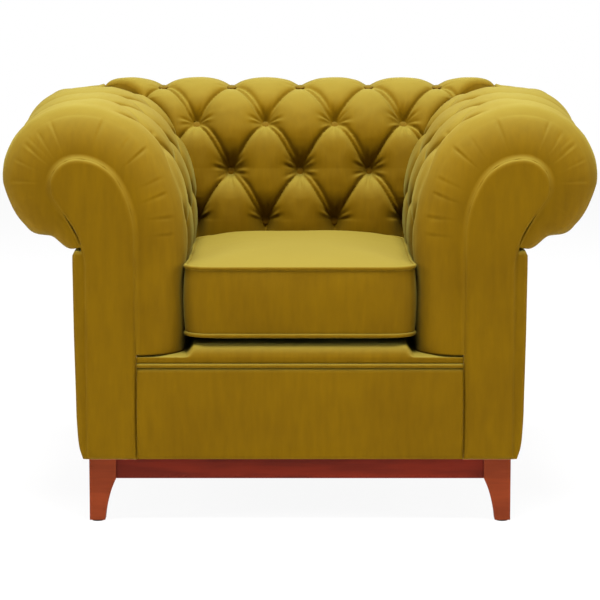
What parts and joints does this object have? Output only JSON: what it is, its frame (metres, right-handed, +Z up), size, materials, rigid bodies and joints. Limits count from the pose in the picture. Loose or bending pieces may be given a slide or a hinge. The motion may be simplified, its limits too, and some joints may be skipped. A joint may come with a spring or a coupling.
{
  "type": "upholstered armchair",
  "caption": "Deep-buttoned club armchair with rolled scroll arms and back, a loose seat cushion with piping and a zip, and a low wooden plinth with tapered legs.",
  "frame": {"origin": "on the floor under the middle of the chair", "axes": "+Z up, -Y towards the front of the chair, X across it from arm to arm"},
  "size_m": [1.1216, 0.8947, 0.7987],
  "materials": {
    "velvet": "gold velvet, soft pile",
    "velvet_buttons": "gold velvet over covered buttons",
    "velvet_piping": "gold velvet piping",
    "leg_wood": "red-brown stain, satin",
    "plinth_wood": "dark red-brown stain, satin",
    "frame_wood": "raw sawn hardwood",
    "board": "bent fibreboard",
    "glide_felt": "pressed felt",
    "bolt_steel": "zinc plated",
    "spring_steel": "bright spring wire",
    "dust_cloth": "black non-woven cloth",
    "felt": "grey-white felt",
    "webbing": "jute webbing",
    "foam": "upholstery foam",
    "zip_metal": "plain brass",
    "zip_cloth": "woven tape"
  },
  "bodies": {
    "chair": {"arm_board_left": "frame_wood", "arm_board_right": "frame_wood", "arm_buttons_left": "velvet_buttons", "arm_buttons_right": "velvet_buttons", "arm_foam_left": "foam", "arm_foam_right": "foam", "arm_posts": "frame_wood", "arm_roll_boards": "board", "arm_tack_rails": "frame_wood", "arm_top_rails": "frame_wood", "arm_upholstery_left": "velvet", "arm_upholstery_right": "velvet", "back_buttons": "velvet_buttons", "back_foam": "foam", "back_roll_board": "board", "back_tack_rail": "frame_wood", "back_top_rail": "frame_wood", "back_upholstery": "velvet", "back_uprights": "frame_wood", "corner_blocks": "frame_wood", "corner_foams": "foam", "corner_upholstery_left": "velvet", "corner_upholstery_right": "velvet", "dust_cover": "dust_cloth", "facing_left": "velvet", "facing_right": "velvet", "front_border": "velvet", "front_piping": "velvet_piping", "leg_bolts": "bolt_steel", "leg_front_left": "leg_wood", "leg_front_right": "leg_wood", "leg_glides": "glide_felt", "leg_rear_left": "leg_wood", "leg_rear_right": "leg_wood", "outside_panel_back": "velvet", "outside_panel_left": "velvet", "outside_panel_right": "velvet", "plinth_rail_front": "plinth_wood", "plinth_rail_left": "plinth_wood", "plinth_rail_rear": "plinth_wood", "plinth_rail_right": "plinth_wood", "seat_deck": "velvet", "seat_felt": "felt", "seat_rail_front": "frame_wood", "seat_rail_left": "frame_wood", "seat_rail_rear": "frame_wood", "seat_rail_right": "frame_wood", "seat_springs": "spring_steel", "seat_stretcher": "frame_wood", "spring_clips": "spring_steel", "webbing": "webbing"},
    "cushion": {"cushion_border": "velvet", "cushion_core": "foam", "cushion_piping_low": "velvet_piping", "cushion_piping_top": "velvet_piping", "cushion_top": "velvet", "cushion_underside": "velvet", "zip_tape": "zip_cloth", "zip_teeth": "zip_metal"},
    "slider": {"zip_slider": "zip_metal"}
  },
  "joints": [
    {"name": "cushion_slide", "type": "slide", "parent": "chair", "child": "cushion", "axis": [0, -1, 0], "range_m": [0, 0.6]},
    {"name": "zip_slide", "type": "slide", "parent": "cushion", "child": "slider", "axis": [-1, 0, 0], "range_m": [0, 0.31]}
  ]
}
